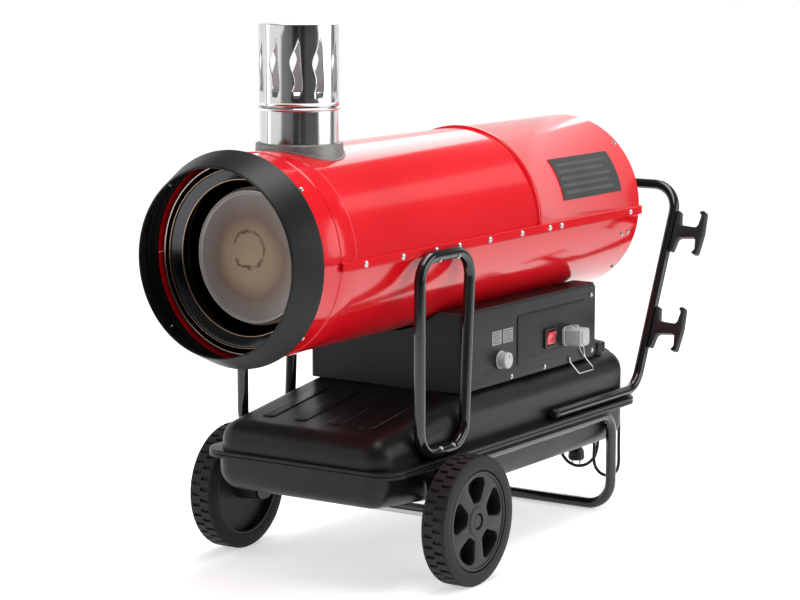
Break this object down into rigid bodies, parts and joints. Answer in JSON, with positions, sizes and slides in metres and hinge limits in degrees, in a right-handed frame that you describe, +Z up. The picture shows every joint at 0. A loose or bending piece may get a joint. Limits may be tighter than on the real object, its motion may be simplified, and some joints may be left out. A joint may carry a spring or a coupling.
{
  "type": "forced air heater",
  "caption": "Wheeled indirect oil-fired forced air heater: red barrel with flared outlet ring and capped flue, control box and moulded fuel tank on a tube frame with push handle.",
  "frame": {"origin": "on the floor, under the middle of the heater's length and width", "axes": "+X from the hot air outlet towards the push handle, +Z up, -Y the side with the controls"},
  "size_m": [1.4044, 0.597, 1.057],
  "materials": {
    "red_paint": "gloss",
    "satin_grey": "satin",
    "satin_black": "satin",
    "gloss_black": "gloss",
    "stainless": "polished",
    "galvanised": "matte",
    "heat_steel": "heat tinted",
    "tank_plastic": "moulded, lightly textured",
    "black_plastic": "satin",
    "grey_plastic": "satin",
    "red_plastic": "gloss",
    "rubber": "matte",
    "tyre": "matte",
    "brass": "satin",
    "ceramic": "smooth"
  },
  "bodies": {
    "chassis": {"barrel_lower": "red_paint", "barrel_upper_front": "red_paint", "barrel_upper_rear": "red_paint", "front_ring": "satin_grey", "control_housing": "satin_black", "control_panel": "satin_black", "rear_grille": "gloss_black", "undercarriage_tube": "gloss_black", "axle_bracket_near": "gloss_black", "axle_bracket_far": "gloss_black", "axle_beam": "gloss_black", "side_loop_near": "gloss_black", "side_loop_far": "gloss_black", "push_handle": "gloss_black", "heat_shield": "stainless", "flue_pipe": "stainless", "flue_cap": "stainless", "burner_tube": "stainless", "flue_collar": "galvanised", "burner_blower": "galvanised", "fuel_pump": "galvanised", "fuel_filter": "galvanised", "fan_motor": "galvanised", "motor_bracket": "galvanised", "drain_plug": "galvanised", "axle_rod": "galvanised", "wire_clip": "galvanised", "heat_exchanger": "heat_steel", "combustion_chamber": "heat_steel", "chamber_end_disc": "heat_steel", "tank_upper": "tank_plastic", "tank_lower": "tank_plastic", "switch_bezel": "black_plastic", "ignition_transformer": "black_plastic", "handle_cap_near": "black_plastic", "handle_cap_far": "black_plastic", "cord_hook_upper": "black_plastic", "cord_hook_lower": "black_plastic", "cable_gland": "black_plastic", "cord_tie": "black_plastic", "mains_plug": "black_plastic", "control_box": "grey_plastic", "socket_base": "grey_plastic", "cord_drop": "rubber", "cord_coil": "rubber", "cord_tail": "rubber", "burner_nozzle": "brass", "fuel_line": "brass", "ignition_electrodes": "ceramic"},
    "wheel_near": {"wheel_tyre_near": "tyre", "wheel_rim_near": "black_plastic", "hub_cap_near": "black_plastic"},
    "wheel_far": {"wheel_tyre_far": "tyre", "wheel_rim_far": "black_plastic", "hub_cap_far": "black_plastic"},
    "fan": {"fan": "galvanised"},
    "thermostat_knob": {"thermostat_knob": "grey_plastic"},
    "power_rocker": {"power_rocker": "red_plastic"},
    "fuel_cap": {"fuel_cap": "black_plastic"},
    "socket_plug": {"socket_plug": "grey_plastic"}
  },
  "joints": [
    {"name": "wheel_near_spin", "type": "hinge", "parent": "chassis", "child": "wheel_near", "pos_m": [-0.2821, -0.272, 0.125], "axis": [0, 1, 0], "continuous": true},
    {"name": "wheel_far_spin", "type": "hinge", "parent": "chassis", "child": "wheel_far", "pos_m": [-0.2821, 0.272, 0.125], "axis": [0, 1, 0], "continuous": true},
    {"name": "fan_spin", "type": "hinge", "parent": "chassis", "child": "fan", "pos_m": [0.4809, 0, 0.6395], "axis": [1, 0, 0], "continuous": true},
    {"name": "thermostat_turn", "type": "hinge", "parent": "chassis", "child": "thermostat_knob", "pos_m": [-0.0191, -0.19, 0.385], "axis": [0, -1, 0], "range_deg": [0, 270]},
    {"name": "power_rock", "type": "hinge", "parent": "chassis", "child": "power_rocker", "pos_m": [0.1709, -0.1839, 0.403], "axis": [-1, 0, 0], "range_deg": [0, 18]},
    {"name": "fuel_cap_turn", "type": "hinge", "parent": "chassis", "child": "fuel_cap", "pos_m": [0.4109, -0.15, 0.345], "axis": [0, 0, 1], "range_deg": [0, 120]},
    {"name": "socket_plug_pull", "type": "slide", "parent": "chassis", "child": "socket_plug", "axis": [0, -1, 0], "range_m": [0, 0.03]}
  ]
}
